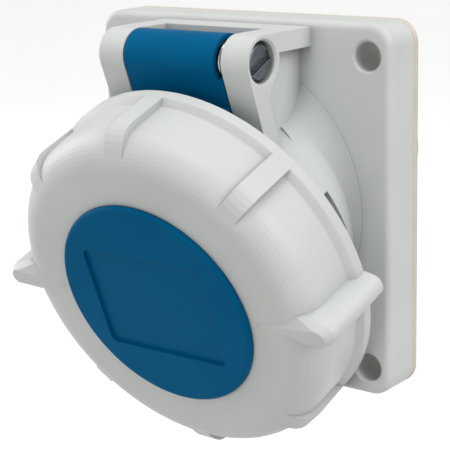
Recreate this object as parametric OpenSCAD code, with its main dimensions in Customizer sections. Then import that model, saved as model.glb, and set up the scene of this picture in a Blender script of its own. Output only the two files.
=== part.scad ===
// Industrial panel socket, sloping, with a bayonet-locked hinged lid.
// Frame: origin in the panel plane at the centre of the four mounting holes,
// -Y out of the panel towards the user, +Z up, +X to the user's right.

/* [Flange] */
// Width of the flange
flange_w = 70; // [68:0.5:80]
// Height of the flange
flange_h = 71.6; // [70:0.2:80]
// How far the flange centre sits above the hole centre
flange_rise = 0.35; // [0:0.05:1]
// Thickness of the flange moulding
flange_t = 8.3; // [7:0.1:10]
// Radius of the flange corners
flange_corner_r = 4.5; // [4:0.5:8]
// Rounding of the flange front edge
flange_edge_r = 1.4; // [0.8:0.1:2]
// Wall left round the hollow back of the flange
flange_wall = 3; // [2:0.1:4]
// Spacing of the mounting holes, both ways
hole_pitch = 60; // [58:0.5:61]
// Diameter of the mounting holes
hole_d = 5.5; // [4.5:0.1:6.5]
// Thickness of the sealing gasket behind the flange
gasket_t = 1.5; // [1:0.1:2.5]

/* [Socket body] */
// How far the socket axis points below straight ahead, degrees
tilt = 20; // [18:0.5:21]
// Distance of the lid's face centre in front of the panel
lid_out = 36.3; // [36:0.1:37.5]
// Distance of the lid's face centre below the hole centre
lid_drop = 15.25; // [14.8:0.05:15.6]
// Outer radius of the socket collar
collar_r = 27.1; // [26.6:0.1:27.2]
// Bore radius of the socket collar
collar_bore_r = 22.9; // [22.4:0.1:23.2]
// Depth of the collar mouth behind the lid's face
collar_mouth = 7.8; // [7.8:0.1:8.4]
// Depth of the collar's rear end behind the lid's face
collar_rear = 46; // [44:0.5:48]
// Radius of the fillet foot where the collar leaves the flange
boss_r = 28.8; // [28.4:0.1:29.4]
// Radius of the fillet between collar and flange
boss_fillet = 6; // [4:0.5:7]
// Width of the key groove in the collar bore
key_w = 7; // [5:0.5:9]

/* [Hinge] */
// Distance of the hinge axis in front of the panel
hinge_out = 24.9; // [24.6:0.1:25.4]
// Height of the hinge axis above the hole centre
hinge_up = 30.1; // [29.8:0.1:30.6]
// Outer radius of the hinge barrel and ears
hinge_r = 4.9; // [4.7:0.1:5.1]
// Half the outside width over the two ears
ear_x = 17.7; // [17:0.1:19]
// Thickness of each ear
ear_t = 6; // [5:0.1:6.5]
// Depth of the triangular recess in the ears' outer sides
web_recess = 2.8; // [1.5:0.1:3.2]
// Radius of the hinge pin
pin_r = 2.5; // [2.2:0.1:2.6]
// Radius of the hinge pin's slotted head
pin_head_r = 3.7; // [3.4:0.1:3.8]
// Radius of the spring wire
wire_r = 0.45; // [0.3:0.05:0.5]

/* [Lid] */
// Radius of the round cap on the lid's face
cap_r = 21.9; // [21.2:0.1:24]
// How far the cap stands out of the ring's face
cap_h = 1.1; // [1:0.1:2]
// Width of the bare label field
label_w = 28.3; // [20:0.1:30]
// Height of the bare label field
label_h = 21.6; // [14:0.1:23]
// Depth of the bare label field
label_d = 0.6; // [0.3:0.1:0.9]
// Thickness of the lid seal
seal_t = 2; // [1.6:0.1:2]

/* [Locking ring] */
// Radius of the ring's rear rim
rim_r = 36.4; // [36.2:0.1:36.8]
// Width of the ring's rear rim
rim_w = 2.5; // [2:0.1:4]
// Whole depth of the ring
ring_depth = 17.4; // [17.2:0.1:17.6]
// Radius of the ring's side wall at the rim
side_r = 35.2; // [35:0.1:35.4]
// Radius of the ring's side wall at the shoulder
shoulder_side_r = 35; // [34.6:0.1:35.2]
// Rounding of the ring's front shoulder
shoulder_r = 6.3; // [5:0.1:6.6]
// Number of rib stations, the two wings among them
stations = 8; // [4:2:12]
// Width of each rib
rib_w = 4.2; // [3:0.1:6]
// Radius to the tip of the two finger wings
wing_r = 39.7; // [39:0.1:41]

/* [Contacts] */
// Radius of the circle the contacts stand on
contact_circle = 9.5; // [9.2:0.1:9.8]
// Bore radius of the line and neutral sleeves
pole_bore_r = 2.55; // [2.5:0.01:2.65]
// Bore radius of the earth sleeve
earth_bore_r = 3.55; // [3.5:0.01:3.6]
// Wall of a contact sleeve
sleeve_wall = 1.15; // [1:0.05:1.2]
// Radius of the insulating contact carrier's boss
carrier_r = 18.1; // [17.8:0.1:18.6]

/* [Hidden] */
$fn = 64;
eps = 0.01;
gap = 0.3;               // clearance between round faces of separate pieces
fit = 0.05;              // running clearance of turning parts
face_y = gasket_t + flange_t;
ring_bore_r = 20.5;      // opening in the ring's face plate
plate_t = 2.6;           // thickness of the ring's face plate
skirt_r = 32;            // inside radius of the ring's skirt
dish_r = 31.4;           // outside radius of the lid dish
wall_in = 27.6;          // inside radius of the wall behind the lid dish
wall_out = 29.6;         // outside radius of the wall behind the lid dish
dish_front = plate_t + gap;
dish_t = 2.9;
dish_rear = dish_front + dish_t;
seal_rear = dish_rear + seal_t;
lug_half = 11;           // half angle of a collar lug
ring_lug_half = 10;      // half angle of a ring lug
lug_turn = -30;          // angle from the unlocked to the locked ring
lug_front = 9.7;
lug_t = 3.2;
lug_top_r = 28.8;
ring_lug_r = 27.7;
// hinge axis seen in the lid frame: depth behind the face, height up the face
hinge_s = -(lid_out - hinge_out) * cos(tilt) - (hinge_up + lid_drop) * sin(tilt);
hinge_v = -(lid_out - hinge_out) * sin(tilt) + (hinge_up + lid_drop) * cos(tilt);
ear_in = ear_x - ear_t;
barrel_left = ear_in - gap;
barrel_right = ear_in - 1.7;
arm_x = ear_in - gap;
arm_foot = -21.4;        // deepest point of the arm inside the ring
arm_step = 37;           // height where the arm widens below the spring
strut_rear = 25.4;
beam_top = hinge_up + hinge_r;
beam_t = 3.7;
block_y = 16.7;          // front of the block between the ears
carrier_seal_t = 0.9;
carrier_flange_t = 3.5;
carrier_rear = collar_rear + carrier_seal_t + carrier_flange_t;
body_t = 19;
body_rear = carrier_rear + body_t;
body_r = 18;
screw_v = 26.6;          // the two carrier screws, above and below the axis
screw_boss_r = 3.4;
carrier_front = 11;
sleeve_front = carrier_front + 2.8;
sleeve_rear = carrier_rear + 1.6;
cage_front = sleeve_rear + 1.4;
cage_len = 9;
tail_rear = cage_front + cage_len - 0.6;
contact_angles = [-90, 30, 150];
groove_front = 23.6;     // groove round the collar, behind the ring's rim
groove_rear = 27.2;
groove_end = 26;         // angle of its closed end
boss_drop = 0.4;         // the collar's boss sits a little below the hole centre
seam = 0.6;              // overlap that welds parts of one moulding

// Frame of the lid: local z out of the lid's face, local y up the face.
module lid_frame() {
    translate([0, -lid_out, -lid_drop])
        rotate([90 + tilt, 0, 0])
            children();
}

// Frame of the panel: local z out of the panel, local y up.
module panel_frame() {
    rotate([90, 0, 0])
        children();
}

// Frame of the hinge: local z along +X, local x towards +Y, local y up.
module hinge_frame() {
    translate([0, -hinge_out, hinge_up])
        rotate([90, 0, 90])
            children();
}

module disc(r, z0, z1) {
    translate([0, 0, min(z0, z1)])
        cylinder(h = abs(z1 - z0), r = r);
}

// A solid cylinder sector from angle a0 to a1.
module sector(r, a0, a1, z0, z1) {
    translate([0, 0, min(z0, z1)])
        rotate([0, 0, a0])
            rotate_extrude(angle = a1 - a0)
                square([r, abs(z1 - z0)]);
}

// Points of an arc, for turned and extruded outlines.
function arc(cx, cy, r, a0, a1, n) =
    [for (i = [0:n]) [cx + r * cos(a0 + (a1 - a0) * i / n), cy + r * sin(a0 + (a1 - a0) * i / n)]];

module at_corners(dx, dy) {
    for (sx = [-1, 1])
        for (sy = [-1, 1])
            translate([sx * dx, sy * dy, 0])
                children();
}

module rounded_block(w, h, r, z0, z1) {
    translate([-w / 2 + r, -h / 2, z0])
        cube([w - 2 * r, h, z1 - z0]);
    translate([-w / 2, -h / 2 + r, z0])
        cube([w, h - 2 * r, z1 - z0]);
    at_corners(w / 2 - r, h / 2 - r)
        translate([0, 0, z0])
            cylinder(h = z1 - z0, r = r);
}

// ---- flange housing -------------------------------------------------------
module flange_shell() {
    r = flange_corner_r;
    e = flange_edge_r;
    difference() {
        translate([0, flange_rise, 0])
            hull()
                at_corners(flange_w / 2 - r, flange_h / 2 - r)
                    rotate_extrude($fn = 40)
                        polygon(concat([[0, gasket_t], [r, gasket_t]],
                            arc(r - e, face_y - e, e, 0, 90, 5), [[0, face_y]]));
        difference() {
            translate([0, flange_rise, gasket_t - 1])
                linear_extrude(height = flange_t - flange_wall + 1)
                    square([flange_w - 2 * flange_wall, flange_h - 2 * flange_wall], center = true);
            at_corners(hole_pitch / 2, hole_pitch / 2)
                cylinder(h = 30, r = 6, center = true);
            translate([0, -boss_drop, 0])
                cylinder(h = 30, r = boss_r, center = true);
        }
    }
}

module mounting_holes() {
    at_corners(hole_pitch / 2, hole_pitch / 2) {
        cylinder(h = 40, r = hole_d / 2, center = true);
        translate([0, 0, face_y - 0.4])
            cylinder(h = 1.4, r1 = hole_d / 2, r2 = hole_d / 2 + 1.4);
    }
}

module collar_fillet() {
    f = boss_fillet;
    translate([0, -boss_drop, face_y])
        rotate_extrude($fn = 96)
            polygon(concat([[0, -seam], [boss_r, -seam], [boss_r, 0.2]],
                arc(boss_r, f + 0.2, f, -90, -180, 10), [[0, f + 0.2]]));
}

// Outline of one ear seen from the side, drawn as [y, z]: beam back to the
// flange, boss round the pin, and strut parallel to the ring.
function strut_point(s, v) =
    [-lid_out - s * cos(tilt) - v * sin(tilt), -lid_drop - s * sin(tilt) + v * cos(tilt)];

module ear_outline() {
    polygon(concat([[-face_y + seam, beam_top]],
        arc(-hinge_out, hinge_up, hinge_r, 90, 180 + tilt, 14),
        [strut_point(hinge_s + hinge_r, 15), [-face_y + seam, 8]]));
}

// The three-cornered recess between beam, strut and flange.
module recess_outline() {
    polygon(concat([[-face_y + 1, beam_top - beam_t]],
        [[-hinge_out + hinge_r * 0.98, beam_top - beam_t]],
        arc(-hinge_out, hinge_up, hinge_r + 0.1, 6, -52, 6),
        [strut_point(-strut_rear, 31.5), strut_point(-strut_rear, 8), [-face_y + 1, 2]]));
}

module side_slab(x0, x1) {
    translate([x0, 0, 0])
        rotate([90, 0, 90])
            linear_extrude(height = x1 - x0)
                children();
}

module ear(side) {
    mirror([side < 0 ? 1 : 0, 0, 0]) {
        difference() {
            side_slab(ear_in, ear_x)
                ear_outline();
            side_slab(ear_x - web_recess, ear_x + 1)
                recess_outline();
        }
    }
}

module hinge_block() {
    translate([-ear_in - 1, -block_y, 18])
        cube([2 * ear_in + 2, block_y - face_y + seam, beam_top - 18]);
    ear(1);
    ear(-1);
}

module collar_lugs() {
    for (a = [lug_turn, lug_turn + 180])
        difference() {
            sector(lug_top_r, a - lug_half, a + lug_half, -lug_front, -lug_front - lug_t);
            disc(collar_r - 1, 0, -30);
        }
}

// The way of the lug round the outside of the collar, closed at one end.
module lug_groove() {
    difference() {
        sector(collar_r + 1.5, 8, groove_end, -groove_front, -groove_rear);
        disc(collar_r - 1, 0, -60);
    }
}

module screw_boss(side) {
    translate([0, side * screw_v, -collar_rear])
        cylinder(h = 12, r = screw_boss_r);
}

module flange_housing() {
    color([0.80, 0.81, 0.79])
        difference() {
            union() {
                panel_frame() {
                    flange_shell();
                    collar_fillet();
                }
                lid_frame() {
                    disc(collar_r, -collar_mouth, -collar_rear);
                    collar_lugs();
                    screw_boss(1);
                    screw_boss(-1);
                }
                hinge_block();
            }
            lid_frame() {
                disc(collar_bore_r, 0, -collar_rear - 1);
                // room for the contact carrier's flange behind the tube
                disc(screw_v + screw_boss_r + 0.6, -collar_rear, -collar_rear - 14);
                translate([-key_w / 2, -collar_bore_r - 1.6, -collar_rear + 4])
                    cube([key_w, 6, 60]);
                for (side = [-1, 1])
                    translate([0, side * screw_v, -collar_rear - 1])
                        cylinder(h = 10, r = 1.25);
                lug_groove();
            }
            panel_frame()
                mounting_holes();
            hinge_frame() {
                translate([0, 0, -ear_x - 1])
                    cylinder(h = 2 * ear_x + 2, r = pin_r + fit);
                translate([0, 0, ear_x - 2.8])
                    cylinder(h = 4, r = pin_head_r + 0.2);
                translate([0, 0, ear_x - 0.5])
                    cylinder(h = 1, r1 = pin_head_r + 0.2, r2 = pin_head_r + 1);
                translate([0, 0, -ear_x - 1])
                    cylinder(h = 3.3, r = pin_head_r + 0.2);
            }
        }
}

module flange_gasket() {
    color([0.87, 0.84, 0.79])
        panel_frame()
            difference() {
                translate([0, flange_rise, 0])
                    rounded_block(flange_w, flange_h, flange_corner_r, 0, gasket_t);
                translate([0, -1.1, -1])
                    cylinder(h = gasket_t + 2, r = 31.6);
                at_corners(hole_pitch / 2, hole_pitch / 2)
                    cylinder(h = 10, r = hole_d / 2, center = true);
            }
}

// ---- hinge ----------------------------------------------------------------
module hinge_pin() {
    color([0.44, 0.46, 0.49])
        hinge_frame()
            difference() {
                union() {
                    translate([0, 0, -ear_x + 1])
                        cylinder(h = 2 * ear_x - 3, r = pin_r);
                    translate([0, 0, ear_x - 2.8])
                        cylinder(h = 1.4, r = pin_head_r);
                    translate([0, 0, ear_x - 1.4])
                        cylinder(h = 0.7, r1 = pin_head_r, r2 = pin_head_r - 0.7);
                }
                translate([0, 0, ear_x - 1.6])
                    rotate([0, 0, 26])
                        translate([-6, -1.05, 0])
                            cube([12, 2.1, 3]);
            }
}

module hinge_pin_clip() {
    color([0.62, 0.63, 0.65])
        hinge_frame()
            difference() {
                translate([0, 0, -ear_x + 1.6])
                    cylinder(h = 0.7, r = pin_head_r - 0.1);
                translate([0, 0, -ear_x])
                    cylinder(h = 4, r = pin_r + 0.02);
                for (i = [0:5])
                    rotate([0, 0, i * 60])
                        translate([pin_r - 0.3, -0.25, -ear_x])
                            cube([0.9, 0.5, 4]);
            }
}

// Centre line of the closing spring: coils round the pin, one leg each end.
coil_r = 3.35;
coil_turns = 7;
coil_x0 = barrel_right - 7.6;
coil_pitch = 1.2;
coil_steps = 14;
function coil_point(i) =
    [coil_r * cos(360 * i / coil_steps), coil_r * sin(360 * i / coil_steps),
        coil_x0 + coil_pitch * i / coil_steps];

module wire(p, q) {
    hull() {
        translate(p)
            sphere(r = wire_r, $fn = 8);
        translate(q)
            sphere(r = wire_r, $fn = 8);
    }
}

module lid_spring() {
    n = coil_turns * coil_steps;
    color([0.72, 0.73, 0.74])
        hinge_frame() {
            for (i = [0:n - 1])
                wire(coil_point(i), coil_point(i + 1));
            wire(coil_point(n), coil_point(n) + [4.3, -7.2, 0]);
            wire(coil_point(0), coil_point(0) + [0, 0, -1.2]);
        }
}

// ---- lid ------------------------------------------------------------------
module barrel() {
    hinge_frame()
        translate([0, 0, -barrel_left])
            cylinder(h = barrel_left + barrel_right, r = hinge_r);
}

module arm() {
    difference() {
        translate([-arm_x, 0, 0])
            lid_frame()
                rotate([90, 0, 90])
                    linear_extrude(height = 2 * arm_x)
                        polygon([[hinge_v, hinge_s + hinge_r - 0.05], [31.4, hinge_s + hinge_r - 0.05],
                            [29, -ring_depth - 1.4], [24, -ring_depth - 1.4], [24, arm_foot],
                            [29.4, arm_foot - 1.4], [hinge_v - 3.4, hinge_s - 2.8]]);
        lid_frame() {
            disc(wall_in + 0.3, 0, -60);
            // step beside the spring
            translate([barrel_right + 0.15, arm_step, -60])
                cube([5, 30, 60]);
        }
    }
}

module arm_sector() {
    intersection() {
        difference() {
            disc(wall_out, -dish_rear + 1, arm_foot);
            disc(wall_in + 0.3, 0, -40);
        }
        translate([-arm_x + 0.2, 10, -40])
            cube([2 * arm_x - 0.4, 40, 50]);
    }
}

module lid_body() {
    color([0.0, 0.33, 0.50])
        difference() {
            union() {
                barrel();
                arm();
                lid_frame() {
                    rotate_extrude($fn = 96)
                        polygon([[0, -dish_rear], [dish_r, -dish_rear], [dish_r, -dish_front - 2],
                            [dish_r - 2, -dish_front], [0, -dish_front]]);
                    disc(ring_bore_r - fit, -dish_front - 1, 0);
                    difference() {
                        disc(wall_out, -dish_rear + 1, -seal_rear - 0.7);
                        disc(wall_in, 0, -20);
                    }
                    arm_sector();
                }
            }
            // bore on the pin, and the wider pocket for the spring
            hinge_frame() {
                translate([0, 0, -30])
                    cylinder(h = 60, r = pin_r + fit);
                translate([0, 0, coil_x0 - 0.9])
                    cylinder(h = 30, r = 3.95);
                translate([coil_r, 0, coil_x0 - 1.8])
                    cylinder(h = 2, r = wire_r + 0.1);
            }
            // hollow back of the hub, and the socket for the cap's stud
            lid_frame() {
                disc(6.2, -dish_rear - 1, 1);
                ring_pockets();
            }
        }
}

// lightening pockets behind the hub, with spokes left between them
module ring_pockets() {
    for (i = [0:5])
        rotate([0, 0, i * 60])
            difference() {
                sector(18.6, 5, 55, -dish_rear - 1, -2);
                disc(8.4, -20, 2);
            }
}

module lid_cap() {
    color([0.0, 0.33, 0.50])
        lid_frame()
            difference() {
                union() {
                    rotate_extrude($fn = 128)
                        polygon(concat([[0, 0.1], [cap_r, 0.1]],
                            arc(cap_r - 0.9, cap_h - 0.85, 0.9, 0, 90, 6),
                            [[0, cap_h + 0.05]]));
                    disc(5.9, -dish_rear - 0.9, 0.5);
                    disc(6.6, -dish_rear - 0.9, -dish_rear - 0.05);
                }
                translate([0, 0, cap_h - label_d])
                    label_field();
                disc(4.2, -dish_rear - 2, -0.6);
                for (a = [0, 90])
                    rotate([0, 0, a])
                        translate([-8, -0.6, -dish_rear - 2])
                            cube([16, 1.2, dish_rear]);
            }
}

module label_field() {
    rounded_block(label_w, label_h, 1.3, 0, 3);
}

module lid_seal() {
    color([0.13, 0.13, 0.14])
        lid_frame()
            difference() {
                disc(26.9, -dish_rear, -seal_rear);
                disc(21.4, 0, -20);
            }
}

// ---- locking ring ---------------------------------------------------------
module ring_solid() {
    cx = shoulder_side_r - shoulder_r;
    step = rim_r - side_r;
    rotate_extrude($fn = 128)
        polygon(concat([[0, 0]], arc(cx, -shoulder_r, shoulder_r, 90, 0, 11),
            [[side_r, -ring_depth + rim_w + step], [rim_r, -ring_depth + rim_w],
                [rim_r, -ring_depth + 0.3], [rim_r - 0.3, -ring_depth], [0, -ring_depth]]));
}

// The hollow behind the face plate, and the hub's bore through it.
module ring_hollow() {
    rotate_extrude($fn = 128)
        polygon([[0, -ring_depth - 3], [skirt_r, -ring_depth - 3], [skirt_r, -plate_t - 2.2],
            [skirt_r - 2.2, -plate_t], [0, -plate_t]]);
    disc(ring_bore_r, -plate_t - 1, 3);
}

module rib() {
    rotate([90, 0, 0])
        linear_extrude(height = rib_w, center = true)
            polygon([[33.6, -ring_depth + 0.4], [rim_r - 0.04, -ring_depth + 0.4],
                [rim_r - 0.04, -6.2], [36.2, -4.9], [35.8, -3.8], [35.1, -2.8], [34.2, -2],
                [33, -1.3], [31.6, -0.72], [30, -0.34], [29, -1.6], [33.6, -8]]);
}

module wing() {
    crest = 2.2;
    hull() {
        translate([wing_r - crest, 0, -ring_depth])
            cylinder(h = 6, r = crest, $fn = 32);
        translate([wing_r - crest - 0.4, 0, -3.2])
            cylinder(h = 2.1, r = crest, $fn = 32);
        translate([wing_r - crest - 0.9, 0, -1.2])
            cylinder(h = 1.7, r1 = crest - 0.1, r2 = crest - 0.7, $fn = 32);
        translate([32.5, 0, -ring_depth / 2 - 1])
            cube([4, 6, ring_depth - 2], center = true);
        for (sy = [-1, 1])
            translate([32.3, sy * 2.5, -1.2])
                sphere(r = 0.6, $fn = 16);
        translate([24.2, 0, -0.7])
            sphere(r = 0.9, $fn = 20);
    }
}

module locking_ring() {
    color([0.80, 0.81, 0.79])
        lid_frame() {
            difference() {
                union() {
                    ring_solid();
                    for (i = [0:stations - 1])
                        if (i % (stations / 2) != 0)
                            rotate([0, 0, i * 360 / stations])
                                rib();
                    for (a = [0, 180])
                        rotate([0, 0, a])
                            wing();
                }
                ring_hollow();
            }
            for (a = [0, 180])
                difference() {
                    sector(skirt_r + 0.8, a - ring_lug_half, a + ring_lug_half, -13.1, -16.2);
                    disc(ring_lug_r, 0, -30);
                }
        }
}

// ---- contacts and carrier ---------------------------------------------------
function bore_of(i) = i == 0 ? earth_bore_r : pole_bore_r;
function sleeve_r(i) = bore_of(i) + sleeve_wall;

module at_contact(i) {
    rotate([0, 0, contact_angles[i]])
        translate([contact_circle, 0, 0])
            children();
}

module contact_carrier() {
    color([0.16, 0.17, 0.18])
        lid_frame()
            difference() {
                union() {
                    disc(carrier_r, -carrier_front, -carrier_rear);
                    disc(collar_bore_r - gap, -collar_rear + 2.5, -carrier_rear);
                    disc(collar_r - 1.2, -collar_rear - carrier_seal_t, -carrier_rear);
                    for (side = [-1, 1])
                        translate([0, side * screw_v, -carrier_rear])
                            cylinder(h = carrier_flange_t, r = screw_boss_r);
                }
                for (i = [0:2])
                    at_contact(i) {
                        disc(sleeve_r(i) + gap, -sleeve_front, -carrier_rear - 1);
                        disc(bore_of(i) + 0.4, 0, -carrier_rear);
                        translate([0, 0, -carrier_front - 0.8])
                            cylinder(h = 1, r1 = bore_of(i) + 0.4, r2 = bore_of(i) + 1.4);
                    }
                disc(1.5, -carrier_rear - 1, -carrier_rear + 12);
                for (side = [-1, 1])
                    translate([0, side * screw_v, -carrier_rear - 1])
                        cylinder(h = 10, r = 1.7);
            }
}

module carrier_seal() {
    color([0.12, 0.12, 0.13])
        lid_frame()
            difference() {
                disc(collar_r - 1.4, -collar_rear, -collar_rear - carrier_seal_t);
                disc(collar_bore_r + 0.1, 0, -60);
                for (side = [-1, 1])
                    translate([0, side * screw_v, -60])
                        cylinder(h = 30, r = 2.2);
            }
}

module sleeve(i) {
    r = sleeve_r(i);
    at_contact(i)
        difference() {
            union() {
                disc(r, -sleeve_front, -sleeve_rear);
                translate([-1.3, -2.5, -tail_rear])
                    cube([2.6, 5, tail_rear - sleeve_rear + 1]);
            }
            disc(bore_of(i), 0, -sleeve_front - 26);
            translate([0, 0, -sleeve_front - 0.6])
                cylinder(h = 1, r1 = bore_of(i), r2 = bore_of(i) + 0.7);
            // seat of the steel spring ring
            difference() {
                disc(r + 1, -sleeve_front - 4, -sleeve_front - 7.2);
                disc(r - 0.5, 0, -60);
            }
            for (a = [45, 135])
                rotate([0, 0, a])
                    translate([-8, -0.35, -sleeve_front - 20])
                        cube([16, 0.7, 30]);
        }
}

module brass_sleeve(i) {
    color([0.78, 0.62, 0.30])
        lid_frame()
            sleeve(i);
}

module sleeve_springs() {
    color([0.66, 0.67, 0.69])
        lid_frame()
            for (i = [0:2])
                at_contact(i)
                    difference() {
                        disc(sleeve_r(i) + 0.05, -sleeve_front - 4.2, -sleeve_front - 7);
                        disc(sleeve_r(i) - 0.45, 0, -60);
                        translate([0, -0.5, -40])
                            cube([10, 1, 40]);
                    }
}

module terminal_body() {
    color([0.80, 0.80, 0.78])
        lid_frame()
            difference() {
                disc(body_r, -carrier_rear, -body_rear);
                for (i = [0:2])
                    at_contact(i) {
                        disc(sleeve_r(i) + gap, -carrier_rear + 1, -sleeve_rear - 0.4);
                        translate([-1.6, -2.8, -cage_front - 1])
                            cube([3.2, 5.6, 4]);
                        translate([-6.4, -4.5, -body_rear - 1])
                            cube([9.8, 9, body_rear - cage_front + 1.4]);
                        translate([0, 0, -cage_front - cage_len / 2])
                            rotate([0, 90, 0])
                                cylinder(h = 20, r = 3.1);
                    }
                disc(1.9, 0, -body_rear - 1);
                disc(3.4, -body_rear + 2.6, -body_rear - 1);
            }
}

module terminal_cages() {
    color([0.70, 0.71, 0.73])
        lid_frame()
            for (i = [0:2])
                at_contact(i)
                    difference() {
                        translate([-6.1, -4.1, -cage_front - cage_len])
                            cube([9, 8.2, cage_len]);
                        translate([-4.9, -2.9, -cage_front - cage_len - 1])
                            cube([6.4, 5.8, cage_len + 2]);
                        translate([0, 0, -cage_front - cage_len / 2])
                            rotate([0, 90, 0])
                                cylinder(h = 20, r = 1.8);
                    }
}

module terminal_screws() {
    color([0.74, 0.75, 0.77])
        lid_frame()
            for (i = [0:2])
                at_contact(i)
                    translate([0, 0, -cage_front - cage_len / 2])
                        rotate([0, 90, 0])
                            difference() {
                                union() {
                                    disc(1.75, 1.35, 6);
                                    disc(2.75, 5, 7.4);
                                }
                                translate([-4, -0.4, 6.4])
                                    cube([8, 0.8, 2]);
                            }
}

module pan_screw(r, len, head_r, head_t) {
    difference() {
        union() {
            disc(r, 0, len);
            disc(head_r, 0, -head_t);
        }
        for (a = [0, 90])
            rotate([0, 0, a])
                translate([-head_r * 0.6, -0.4, -head_t - 0.4])
                    cube([head_r * 1.2, 0.8, 1.5]);
    }
}

module carrier_screws() {
    color([0.74, 0.75, 0.77])
        lid_frame()
            for (side = [-1, 1])
                translate([0, side * screw_v, -carrier_rear])
                    pan_screw(1.2, carrier_flange_t + carrier_seal_t + 8, 2.8, 2);
}

module body_screw() {
    color([0.74, 0.75, 0.77])
        lid_frame()
            translate([0, 0, -body_rear + 2.6])
                pan_screw(1.45, body_t - 2.6 + 10, 3, 2);
}

flange_housing();
flange_gasket();
hinge_pin();
hinge_pin_clip();
lid_spring();
lid_body();
lid_cap();
lid_seal();
locking_ring();
contact_carrier();
terminal_body();
carrier_seal();
carrier_screws();
body_screw();
brass_sleeve(0);  // earth_sleeve
brass_sleeve(1);  // line_sleeve
brass_sleeve(2);  // neutral_sleeve
sleeve_springs();
terminal_cages();
terminal_screws();
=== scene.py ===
import math
import bpy
import numpy as np
from mathutils import Matrix, Vector


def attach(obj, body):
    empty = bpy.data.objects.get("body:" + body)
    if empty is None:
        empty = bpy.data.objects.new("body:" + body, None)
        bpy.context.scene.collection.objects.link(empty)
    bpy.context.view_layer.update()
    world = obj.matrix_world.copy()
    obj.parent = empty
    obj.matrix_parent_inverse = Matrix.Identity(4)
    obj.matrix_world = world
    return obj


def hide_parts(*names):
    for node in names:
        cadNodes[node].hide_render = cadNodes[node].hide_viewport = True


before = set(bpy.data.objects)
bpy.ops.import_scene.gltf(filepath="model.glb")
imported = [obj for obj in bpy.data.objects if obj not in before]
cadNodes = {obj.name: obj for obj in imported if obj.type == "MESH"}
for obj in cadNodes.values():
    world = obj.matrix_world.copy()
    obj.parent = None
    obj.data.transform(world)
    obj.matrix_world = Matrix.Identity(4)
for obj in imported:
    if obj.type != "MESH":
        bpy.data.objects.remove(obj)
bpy.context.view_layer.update()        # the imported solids, which stay as they are
print("frame loaded:", len(cadNodes), "nodes")

# ---- camera

cameraSet = dict(azimuth=37.96, elevation=14.18, roll=-1.58, distance=0.30035, aimX=-0.01075, aimZ=-0.00914,
                 lens=113.672, sensor=36, shiftX=-0.0074, nearest=0.01, farthest=20)


def placeCamera(s):
    azimuth, elevation, roll = (math.radians(s[key]) for key in ("azimuth", "elevation", "roll"))
    level = Vector((math.cos(azimuth), math.sin(azimuth), 0))
    ahead = Vector((math.sin(azimuth), -math.cos(azimuth), 0))
    back = ahead * math.cos(elevation) + Vector((0, 0, math.sin(elevation)))
    upright = back.cross(level)
    right = level * math.cos(roll) + upright * math.sin(roll)
    up = upright * math.cos(roll) - level * math.sin(roll)
    lens = bpy.data.cameras.new("mainCamera")
    lens.lens = s["lens"]
    lens.sensor_width = s["sensor"]
    lens.shift_x = s["shiftX"]
    lens.clip_start = s["nearest"]
    lens.clip_end = s["farthest"]
    camera = bpy.data.objects.new("mainCamera", lens)
    place = Vector((s["aimX"], 0, s["aimZ"])) + back * s["distance"]
    camera.matrix_world = Matrix.Translation(place) @ Matrix((right, up, back)).transposed().to_4x4()
    bpy.context.scene.collection.objects.link(camera)
    bpy.context.scene.camera = camera


placeCamera(cameraSet)
print("camera placed")

# ---- shader node helpers


def seen(code):
    # hex code of a colour as the eye sees it, turned into the linear numbers a shader takes
    parts = [int(code[i:i + 2], 16) / 255 for i in (0, 2, 4)]
    return tuple(p / 12.92 if p <= 0.04045 else ((p + 0.055) / 1.055) ** 2.4 for p in parts) + (1.0,)


def addNode(tree, kind, sockets=(), **settings):
    node = tree.nodes.new(kind)
    for key, value in settings.items():
        setattr(node, key, value)
    for key, value in dict(sockets).items():
        if isinstance(value, bpy.types.NodeSocket):
            tree.links.new(value, node.inputs[key])
        else:
            node.inputs[key].default_value = value
    return node


def sums(tree, operation, a, b=0.0, clamp=False):
    return addNode(tree, "ShaderNodeMath", {0: a, 1: b}, operation=operation, use_clamp=clamp).outputs[0]


def blendColours(tree, share, low, high):
    # sockets 6 and 7 are the mix node's two colours, and output 2 is its colour
    return addNode(tree, "ShaderNodeMix", {"Factor": share, 6: low, 7: high}, data_type="RGBA").outputs[2]


def mapped(tree, value, fromLow, fromHigh, toLow=0.0, toHigh=1.0):
    return addNode(tree, "ShaderNodeMapRange", {"Value": value, "From Min": fromLow, "From Max": fromHigh,
                                                "To Min": toLow, "To Max": toHigh}).outputs["Result"]


def startGroup(name, inputs, outputs):
    tree = bpy.data.node_groups.new(name, "ShaderNodeTree")
    kinds = dict(vector="NodeSocketVector", number="NodeSocketFloat", colour="NodeSocketColor")
    for way, sockets in (("INPUT", inputs), ("OUTPUT", outputs)):
        for label, kind in sockets:
            tree.interface.new_socket(name=label, in_out=way, socket_type=kinds[kind])
    return tree, tree.nodes.new("NodeGroupInput").outputs, tree.nodes.new("NodeGroupOutput").inputs


def placeGroup(tree, group, sockets):
    return addNode(tree, "ShaderNodeGroup", sockets, node_tree=group).outputs


def scaled(tree, vector, size):
    # a vector divided by a size in metres, so one unit of the texture is that size
    share = sums(tree, "DIVIDE", 1.0, size)
    return addNode(tree, "ShaderNodeVectorMath", {0: vector, "Scale": share}, operation="SCALE").outputs[0]


def noise(tree, vector, detail):
    sockets = {"Vector": vector, "Scale": 1.0, "Detail": detail}
    return addNode(tree, "ShaderNodeTexNoise", sockets).outputs["Fac"]


raySamples = 6             # rays that an edge or crease node sends out at each point
skinOutputs = [("Color", "colour"), ("Roughness", "number"), ("Height", "number")]

# moulded plastic: broad clouding of the tone, fine spark-eroded grain
mouldedBands = dict(cloudLow=0.36, cloudHigh=0.64, speckLow=0.42, speckHigh=0.75, speckShare=0.22,
                    pitScale=0.7, pitDepth=0.35, patchDetail=3.0, grainDetail=2.0)


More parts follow.
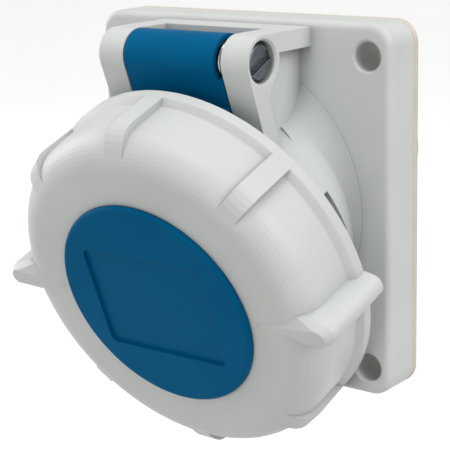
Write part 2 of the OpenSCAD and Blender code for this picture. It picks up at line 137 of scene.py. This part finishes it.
def makeMouldedSkin(s):
    tree, given, out = startGroup(
        "mouldedSkin",
        [("Vector", "vector"), ("Tone", "colour"), ("Low Tone", "colour"), ("Patch Size", "number"),
         ("Grain Size", "number"), ("Rough", "number"), ("Rough Swing", "number")], skinOutputs)
    patch = noise(tree, scaled(tree, given["Vector"], given["Patch Size"]), s["patchDetail"])
    fine = scaled(tree, given["Vector"], given["Grain Size"])
    grain = noise(tree, fine, s["grainDetail"])
    pits = addNode(tree, "ShaderNodeTexVoronoi",
                   {"Vector": fine, "Scale": s["pitScale"]}).outputs["Distance"]
    cloud = mapped(tree, patch, s["cloudLow"], s["cloudHigh"])
    speck = mapped(tree, grain, s["speckLow"], s["speckHigh"], 0.0, s["speckShare"])
    share = sums(tree, "ADD", cloud, speck, clamp=True)
    # roughness: the given one plus a swing by how far both noises stand from their middle
    away = sums(tree, "ADD", sums(tree, "SUBTRACT", patch, 0.5), sums(tree, "SUBTRACT", grain, 0.5))
    swing = sums(tree, "MULTIPLY", away, given["Rough Swing"])
    tree.links.new(blendColours(tree, share, given["Tone"], given["Low Tone"]), out["Color"])
    tree.links.new(sums(tree, "ADD", given["Rough"], swing, clamp=True), out["Roughness"])
    height = sums(tree, "ADD", grain, sums(tree, "MULTIPLY", pits, s["pitDepth"]))
    tree.links.new(height, out["Height"])
    return tree


# an edge: the normal rounded over a small radius, and how far it leans from the true one; the lean is the
# mask for a painted highlight, a lighter colour along edges
def makeSoftEdge():
    tree, given, out = startGroup("softEdge", [("Radius", "number"), ("Gain", "number")],
                                  [("Normal", "vector"), ("Edge", "number")])
    rounded = addNode(tree, "ShaderNodeBevel", {"Radius": given["Radius"]},
                      samples=raySamples).outputs["Normal"]
    flat = addNode(tree, "ShaderNodeNewGeometry").outputs["Normal"]
    match = addNode(tree, "ShaderNodeVectorMath", {0: rounded, 1: flat},
                    operation="DOT_PRODUCT").outputs["Value"]
    lean = sums(tree, "SUBTRACT", 1.0, match)
    tree.links.new(rounded, out["Normal"])
    tree.links.new(sums(tree, "MULTIPLY", lean, given["Gain"], clamp=True), out["Edge"])
    return tree


# a crease: how closed in a place is within a short reach; this mask paints shade into creases and recesses,
# darkening the colour where the surface is shut in
creaseBand = dict(openFrom=0.92, closedAt=0.30)


def makePaintedCreaseShade(s):
    tree, given, out = startGroup("paintedCreaseShade", [("Reach", "number"), ("Strength", "number")],
                                  [("Crease", "number")])
    openness = addNode(tree, "ShaderNodeAmbientOcclusion", {"Distance": given["Reach"]},
                       samples=raySamples).outputs["AO"]
    closed = mapped(tree, openness, s["openFrom"], s["closedAt"])
    tree.links.new(sums(tree, "MULTIPLY", closed, given["Strength"], clamp=True), out["Crease"])
    return tree


# metal skin: streaks drawn out along one way, and blotches of plating
metalBands = dict(drawn=0.12, blotchLow=0.35, blotchHigh=0.65, blotchDepth=0.5, streakDetail=2.0,
                  blotchDetail=4.0)


def makeMetalSkin(s):
    tree, given, out = startGroup(
        "metalSkin",
        [("Vector", "vector"), ("Tone", "colour"), ("Low Tone", "colour"), ("Streak Size", "number"),
         ("Blotch Size", "number"), ("Rough", "number"), ("Rough Swing", "number")], skinOutputs)
    drawn = addNode(tree, "ShaderNodeMapping",
                    {"Vector": given["Vector"], "Scale": (s["drawn"], 1, 1)}).outputs[0]
    streak = noise(tree, scaled(tree, drawn, given["Streak Size"]), s["streakDetail"])
    blotch = noise(tree, scaled(tree, given["Vector"], given["Blotch Size"]), s["blotchDetail"])
    # the share of the low tone is the mean of the streaks and the blotches
    plating = mapped(tree, blotch, s["blotchLow"], s["blotchHigh"])
    share = sums(tree, "MULTIPLY", sums(tree, "ADD", streak, plating), 0.5)
    swing = sums(tree, "MULTIPLY", sums(tree, "SUBTRACT", share, 0.5), given["Rough Swing"])
    tree.links.new(blendColours(tree, share, given["Tone"], given["Low Tone"]), out["Color"])
    tree.links.new(sums(tree, "ADD", given["Rough"], swing, clamp=True), out["Roughness"])
    height = sums(tree, "ADD", streak, sums(tree, "MULTIPLY", blotch, s["blotchDepth"]))
    tree.links.new(height, out["Height"])
    return tree


# closed-cell foam: small cells with a lighter wall between them, on a broad clouding
foamBands = dict(cloudSize=0.006, cloudDetail=3.0, cellLow=0.2, cellHigh=0.7, cellShare=0.6,
                 toneLow=0.4, toneHigh=0.65, toneShare=0.4, roughLow=0.3, roughHigh=0.7,
                 roughLeast=0.78, roughMost=0.92)


def makeCellFoam(s):
    tree, given, out = startGroup(
        "cellFoam", [("Vector", "vector"), ("Tone", "colour"), ("Low Tone", "colour"),
                     ("Cell Size", "number")], skinOutputs)
    cellPlace = scaled(tree, given["Vector"], given["Cell Size"])
    cells = addNode(tree, "ShaderNodeTexVoronoi", {"Vector": cellPlace, "Scale": 1.0},
                    feature="SMOOTH_F1").outputs["Distance"]
    cloud = noise(tree, scaled(tree, given["Vector"], s["cloudSize"]), s["cloudDetail"])
    share = sums(tree, "ADD", mapped(tree, cells, s["cellLow"], s["cellHigh"], 0.0, s["cellShare"]),
                 mapped(tree, cloud, s["toneLow"], s["toneHigh"], 0.0, s["toneShare"]))
    rough = mapped(tree, cloud, s["roughLow"], s["roughHigh"], s["roughLeast"], s["roughMost"])
    tree.links.new(blendColours(tree, share, given["Tone"], given["Low Tone"]), out["Color"])
    tree.links.new(rough, out["Roughness"])
    tree.links.new(sums(tree, "MULTIPLY", cells, -1.0), out["Height"])
    return tree


# a rectangle round the origin of a plane: 1 inside, 0 outside, soft at its border
def makeFieldMask():
    tree, given, out = startGroup("fieldMask", [("Vector", "vector"), ("Half Width", "number"),
                                                ("Half Height", "number"), ("Border", "number")],
                                  [("Mask", "number")])
    parts = addNode(tree, "ShaderNodeSeparateXYZ", {0: given["Vector"]}).outputs
    inside = []
    for axis, half in (("X", "Half Width"), ("Y", "Half Height")):
        room = sums(tree, "SUBTRACT", given[half], sums(tree, "ABSOLUTE", parts[axis]))
        inside.append(sums(tree, "DIVIDE", room, given["Border"], clamp=True))
    tree.links.new(sums(tree, "MULTIPLY", *inside), out["Mask"])
    return tree


mouldedSkin = makeMouldedSkin(mouldedBands)
softEdge = makeSoftEdge()
paintedCreaseShade = makePaintedCreaseShade(creaseBand)
metalSkin = makeMetalSkin(metalBands)
cellFoam = makeCellFoam(foamBands)
fieldMask = makeFieldMask()
print("node groups made")

# ---- finishes


def startMaterial(name):
    material = bpy.data.materials.new(name)
    material.use_nodes = True
    tree = material.node_tree
    shader = tree.nodes["Principled BSDF"]
    place = addNode(tree, "ShaderNodeTexCoord").outputs["Object"]
    return material, tree, shader, place


def plasticSkin(tree, place, s):
    return placeGroup(tree, mouldedSkin, {
        "Vector": place, "Tone": seen(s["tone"]), "Low Tone": seen(s["lowTone"]), "Patch Size": s["patch"],
        "Grain Size": s["grain"], "Rough": s["rough"], "Rough Swing": s["roughSwing"]})


def finishMaterial(material, tree, shader, skin, colour, roughness, s):
    edge = placeGroup(tree, softEdge, {"Radius": s["edgeRadius"], "Gain": s["edgeHighlightGain"]})
    crease = placeGroup(tree, paintedCreaseShade, {"Reach": s["creaseReach"], "Strength": s["creaseStrength"]})
    # painted highlight: the colour lightened towards the edge tone along edges
    colour = blendColours(tree, edge["Edge"], colour, seen(s["paintedEdgeHighlight"]))
    # painted shade: the colour darkened towards the crease tone where the surface is shut in
    colour = blendColours(tree, crease["Crease"], colour, seen(s["paintedCreaseShade"]))
    bump = addNode(tree, "ShaderNodeBump", {"Height": skin["Height"], "Strength": s["bump"],
                                            "Distance": s["bumpDepth"], "Normal": edge["Normal"]})
    tree.links.new(colour, shader.inputs["Base Color"])
    tree.links.new(roughness, shader.inputs["Roughness"])
    tree.links.new(bump.outputs["Normal"], shader.inputs["Normal"])
    shader.inputs["Specular IOR Level"].default_value = s.get("specular", 0.5)
    return material


def mouldedPlastic(name, s):
    material, tree, shader, place = startMaterial(name)
    skin = plasticSkin(tree, place, s)
    return finishMaterial(material, tree, shader, skin, skin["Color"], skin["Roughness"], s)


def platedMetal(name, s):
    material, tree, shader, place = startMaterial(name)
    skin = placeGroup(tree, metalSkin, {
        "Vector": place, "Tone": seen(s["tone"]), "Low Tone": seen(s["lowTone"]),
        "Streak Size": s["streak"], "Blotch Size": s["blotch"], "Rough": s["rough"],
        "Rough Swing": s["roughSwing"]})
    shader.inputs["Metallic"].default_value = 1.0
    return finishMaterial(material, tree, shader, skin, skin["Color"], skin["Roughness"], s)


# in every set below, the crease tone is a dark colour painted into creases and recesses as shade
# in every set below, the edge tone is a lighter colour painted along edges as a highlight
greySet = dict(tone="D9DCD9", lowTone="D4D7D4", patch=0.018, grain=0.00035, rough=0.46, roughSwing=0.12,
               bump=0.10, bumpDepth=0.00004, edgeRadius=0.0003, edgeHighlightGain=0.8, paintedEdgeHighlight="E4E7E4",
               creaseReach=0.0045, creaseStrength=0.75, paintedCreaseShade="8D918C", specular=0.3)
ringSet = dict(greySet, tone="D8DBD8", lowTone="D3D6D3", patch=0.022, rough=0.42, edgeRadius=0.0004)
blueSet = dict(tone="006290", lowTone="005E8C", patch=0.012, grain=0.0003, rough=0.40, roughSwing=0.14,
               bump=0.10, bumpDepth=0.00004, edgeRadius=0.0003, edgeHighlightGain=0.9, paintedEdgeHighlight="2D709B",
               creaseReach=0.0014, creaseStrength=0.4, paintedCreaseShade="004768", specular=0.03)
capSet = dict(blueSet, grain=0.00022, bump=0.16, bumpDepth=0.00006, rough=0.46, fieldTone="00608C",
              fieldRough=0.36, fieldHalfWidth=0.01415, fieldHalfHeight=0.0108, fieldBorder=0.0002,
              faceY=-0.0363, faceZ=-0.01525, faceTurn=110)
carrierSet = dict(tone="2B2D2F", lowTone="252729", patch=0.01, grain=0.0003, rough=0.5, roughSwing=0.12,
                  bump=0.12, bumpDepth=0.00004, edgeRadius=0.0003, edgeHighlightGain=0.9, paintedEdgeHighlight="45484A",
                  creaseReach=0.0016, creaseStrength=0.4, paintedCreaseShade="141516")
terminalSet = dict(greySet, tone="D6D6D2", lowTone="CFCFCB", rough=0.5)
rubberSet = dict(tone="1D1E1F", lowTone="171819", patch=0.006, grain=0.0002, rough=0.72, roughSwing=0.15,
                 bump=0.2, bumpDepth=0.00005, edgeRadius=0.0004, edgeHighlightGain=0.6, paintedEdgeHighlight="303133",
                 creaseReach=0.001, creaseStrength=0.3, paintedCreaseShade="0C0D0D", specular=0.3)
foamSet = dict(tone="E4DCCF", lowTone="D5CCBD", cell=0.0004, bump=0.35, bumpDepth=0.0001,
               edgeRadius=0.0005, edgeHighlightGain=0.5, paintedEdgeHighlight="EDE6DB", creaseReach=0.001, creaseStrength=0.3,
               paintedCreaseShade="B5AC9D", specular=0.2)
pinSet = dict(tone="8A9299", lowTone="646B71", streak=0.00025, blotch=0.0016, rough=0.34, roughSwing=0.24,
              bump=0.15, bumpDepth=0.00003, edgeRadius=0.00025, edgeHighlightGain=1.2, paintedEdgeHighlight="C9CED2",
              creaseReach=0.0008, creaseStrength=0.6, paintedCreaseShade="34383B")
springWireSet = dict(pinSet, tone="B4B7B9", lowTone="8E9193", streak=0.0002, rough=0.26,
                     paintedEdgeHighlight="DADCDD")
clipSet = dict(pinSet, tone="9EA1A3", lowTone="7E8183", rough=0.32)
screwSet = dict(pinSet, tone="BFC3C6", lowTone="9FA4A8", rough=0.28, paintedEdgeHighlight="E2E5E7", paintedCreaseShade="55595C")
cageSet = dict(screwSet, tone="B2B6B9", lowTone="94999C", rough=0.34, streak=0.0004)
brassSet = dict(pinSet, tone="CBA85C", lowTone="A98544", rough=0.3, paintedEdgeHighlight="E6CB87", paintedCreaseShade="5E4620")


def cappedBlue(name, s):
    material, tree, shader, place = startMaterial(name)
    skin = plasticSkin(tree, place, s)
    # the lid's own frame, where its face is the plane of the first two axes
    face = addNode(tree, "ShaderNodeMapping", {"Vector": place, "Location": (0, s["faceY"], s["faceZ"]),
                                               "Rotation": (math.radians(s["faceTurn"]), 0, 0)},
                   vector_type="TEXTURE").outputs[0]
    field = placeGroup(tree, fieldMask, {"Vector": face, "Half Width": s["fieldHalfWidth"],
                                         "Half Height": s["fieldHalfHeight"],
                                         "Border": s["fieldBorder"]})["Mask"]
    colour = blendColours(tree, field, skin["Color"], seen(s["fieldTone"]))
    roughness = mapped(tree, field, 0.0, 1.0, skin["Roughness"], s["fieldRough"])
    return finishMaterial(material, tree, shader, skin, colour, roughness, s)


def cellRubber(name, s):
    material, tree, shader, place = startMaterial(name)
    skin = placeGroup(tree, cellFoam, {"Vector": place, "Tone": seen(s["tone"]),
                                       "Low Tone": seen(s["lowTone"]), "Cell Size": s["cell"]})
    return finishMaterial(material, tree, shader, skin, skin["Color"], skin["Roughness"], s)


greyHousing = mouldedPlastic("greyHousing", greySet)
greyRing = mouldedPlastic("greyRing", ringSet)
blueLid = mouldedPlastic("blueLid", blueSet)
blueCap = cappedBlue("blueCap", capSet)
blackCarrier = mouldedPlastic("blackCarrier", carrierSet)
paleTerminal = mouldedPlastic("paleTerminal", terminalSet)
sealRubber = mouldedPlastic("sealRubber", rubberSet)
gasketFoam = cellRubber("gasketFoam", foamSet)
pinSteel = platedMetal("pinSteel", pinSet)
springWire = platedMetal("springWire", springWireSet)
clipSteel = platedMetal("clipSteel", clipSet)
screwSteel = platedMetal("screwSteel", screwSet)
cageSteel = platedMetal("cageSteel", cageSet)
contactBrass = platedMetal("contactBrass", brassSet)
finishes = dict(flange_housing=greyHousing, flange_gasket=gasketFoam, hinge_pin=pinSteel,
                hinge_pin_clip=clipSteel, lid_spring=springWire, lid_body=blueLid, lid_cap=blueCap,
                lid_seal=sealRubber, locking_ring=greyRing, contact_carrier=blackCarrier,
                terminal_body=paleTerminal, carrier_seal=sealRubber, carrier_screws=screwSteel,
                body_screw=screwSteel, earth_sleeve=contactBrass, line_sleeve=contactBrass,
                neutral_sleeve=contactBrass, sleeve_springs=springWire, terminal_cages=cageSteel,
                terminal_screws=screwSteel)
for nodeName, node in cadNodes.items():
    node.data.materials.clear()
    node.data.materials.append(finishes[nodeName])
print("finishes given to every node")

# ---- closing spring: round wire wound on the hinge pin, with its two legs

springSet = dict(axisY=-0.0249, axisZ=0.0301, wire=0.00045, coil=0.00335, turns=7, startX=0.0024,
                 pitch=0.0012, steps=36, sides=12, legY=0.0043, legZ=-0.0072, legStart=0.06, legPoints=14,
                 hook=0.0012, hookStart=0.15, hookPoints=5)


def springPath(s):
    # a short leg along the axis, a helix round the hinge axis, then a straight leg down to the housing
    turn = np.linspace(0, 2 * np.pi * s["turns"], s["turns"] * s["steps"] + 1)
    helix = np.stack([s["startX"] + s["pitch"] * turn / (2 * np.pi),
                      s["axisY"] + s["coil"] * np.cos(turn), s["axisZ"] - s["coil"] * np.sin(turn)], axis=1)
    down = np.linspace(s["legStart"], 1, s["legPoints"])[:, None]
    leg = helix[-1] + down * np.array([0, s["legY"], s["legZ"]])
    out = np.linspace(1, s["hookStart"], s["hookPoints"])[:, None]
    hook = helix[0] - out * np.array([s["hook"], 0, 0])
    return np.concatenate([hook, helix, leg])


def wireMesh(name, path, s):
    # a tube with closed ends: every point of the path carries a circle, square to the path,
    # whose first point faces away from the hinge axis
    tangent = np.gradient(path, axis=0)
    tangent /= np.linalg.norm(tangent, axis=1)[:, None]
    spoke = path - np.array([0, s["axisY"], s["axisZ"]])
    spoke[:, 0] = 0
    side = spoke - tangent * (spoke * tangent).sum(axis=1)[:, None]
    side /= np.linalg.norm(side, axis=1)[:, None]
    other = np.cross(tangent, side)
    angle = np.linspace(0, 2 * np.pi, s["sides"], endpoint=False)
    rings = path[:, None] + s["wire"] * (np.cos(angle)[None, :, None] * side[:, None]
                                         + np.sin(angle)[None, :, None] * other[:, None])
    count, sides = len(path), s["sides"]
    i, j = np.meshgrid(np.arange(count - 1), np.arange(sides), indexing="ij")
    nextJ = (j + 1) % sides
    here = i * sides
    ahead = here + sides
    quads = np.stack([here + j, here + nextJ, ahead + nextJ, ahead + j], axis=-1)
    faces = quads.reshape(-1, 4).tolist()
    faces.append(list(range(sides))[::-1])
    faces.append(list(range((count - 1) * sides, count * sides)))
    mesh = bpy.data.meshes.new(name)
    mesh.from_pydata(rings.reshape(-1, 3).tolist(), [], faces)
    mesh.update()
    mesh.shade_smooth()
    return mesh


springMesh = wireMesh("closingSpring", springPath(springSet), springSet)
closingSpring = bpy.data.objects.new("closingSpring", springMesh)
closingSpring.data.materials.append(springWire)
bpy.context.scene.collection.objects.link(closingSpring)
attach(closingSpring, "housing")
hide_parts("lid_spring")
print("closing spring wound")

# ---- studio: pale floor, soft lamps, white round about

studioSet = dict(floorZ=-0.13, floorHalf=4.0, floorCells=8, floorLift=0.7, tone="B9B9B7",
                 lowTone="B5B5B3", patch=0.3, grain=0.002, rough=0.9, roughSwing=0.05, ambient=0.47,
                 lampAim=(0, -0.03, -0.01))


def makeFloor(s):
    # a flat square sheet, worked out as a grid of points at one height
    cells = s["floorCells"]
    line = np.linspace(-s["floorHalf"], s["floorHalf"], cells + 1)
    x, y = np.meshgrid(line, line, indexing="ij")
    points = np.stack([x, y, np.full_like(x, s["floorZ"])], axis=-1).reshape(-1, 3)
    i, j = np.meshgrid(np.arange(cells), np.arange(cells), indexing="ij")
    corner = i * (cells + 1) + j
    quads = np.stack([corner, corner + cells + 1, corner + cells + 2, corner + 1], axis=-1).reshape(-1, 4)
    mesh = bpy.data.meshes.new("studioFloor")
    mesh.from_pydata(points.tolist(), [], quads.tolist())
    mesh.update()
    floor = bpy.data.objects.new("studioFloor", mesh)
    material, tree, shader, place = startMaterial("floorPaper")
    skin = plasticSkin(tree, place, s)
    tree.links.new(skin["Color"], shader.inputs["Base Color"])
    tree.links.new(skin["Roughness"], shader.inputs["Roughness"])
    shader.inputs["Specular IOR Level"].default_value = 0.0
    # the floor shows paler to the eye than it is to the light that it throws back
    lift = addNode(tree, "ShaderNodeEmission",
                   {"Color": (1, 1, 1, 1), "Strength": s["floorLift"]}).outputs[0]
    both = addNode(tree, "ShaderNodeAddShader", {0: shader.outputs[0], 1: lift}).outputs[0]
    rays = addNode(tree, "ShaderNodeLightPath").outputs
    direct = sums(tree, "MAXIMUM", rays["Is Camera Ray"], rays["Is Glossy Ray"])
    shown = addNode(tree, "ShaderNodeMixShader", {0: direct, 1: shader.outputs[0], 2: both}).outputs[0]
    tree.links.new(shown, tree.nodes["Material Output"].inputs["Surface"])
    mesh.materials.append(material)
    bpy.context.scene.collection.objects.link(floor)


def makeWorld(s):
    world = bpy.data.worlds.new("studioWorld")
    world.use_nodes = True
    tree = world.node_tree
    light = tree.nodes["Background"]
    light.inputs["Color"].default_value = (1, 1, 1, 1)
    light.inputs["Strength"].default_value = s["ambient"]
    white = addNode(tree, "ShaderNodeBackground", {"Color": (1, 1, 1, 1), "Strength": 1.0}).outputs[0]
    rays = addNode(tree, "ShaderNodeLightPath").outputs
    direct = sums(tree, "MAXIMUM", rays["Is Camera Ray"], rays["Is Transmission Ray"])
    shown = addNode(tree, "ShaderNodeMixShader", {0: direct, 1: light.outputs[0], 2: white}).outputs[0]
    tree.links.new(shown, tree.nodes["World Output"].inputs["Surface"])
    bpy.context.scene.world = world


lampSet = dict(rightLamp=dict(place=(0.68, -0.02, 0.40), size=0.50, power=2.5),
               leftLamp=dict(place=(-0.78, -0.10, 0.22), size=0.45, power=2.4),
               topLamp=dict(place=(0.06, -0.16, 0.78), size=0.45, power=2.2),
               frontLamp=dict(place=(0.10, -0.80, 0.10), size=0.50, power=0.9))


def placeLamp(name, s, aim):
    lamp = bpy.data.lights.new(name, "AREA")
    lamp.size = s["size"]
    lamp.energy = s["power"]
    holder = bpy.data.objects.new(name, lamp)
    holder.location = s["place"]
    holder.rotation_euler = (Vector(aim) - Vector(s["place"])).to_track_quat("-Z", "Y").to_euler()
    holder.visible_camera = False
    bpy.context.scene.collection.objects.link(holder)


makeFloor(studioSet)
makeWorld(studioSet)
for lampName, lampValues in lampSet.items():
    placeLamp(lampName, lampValues, studioSet["lampAim"])
bpy.context.scene.view_settings.view_transform = "Standard"
print("studio lit")
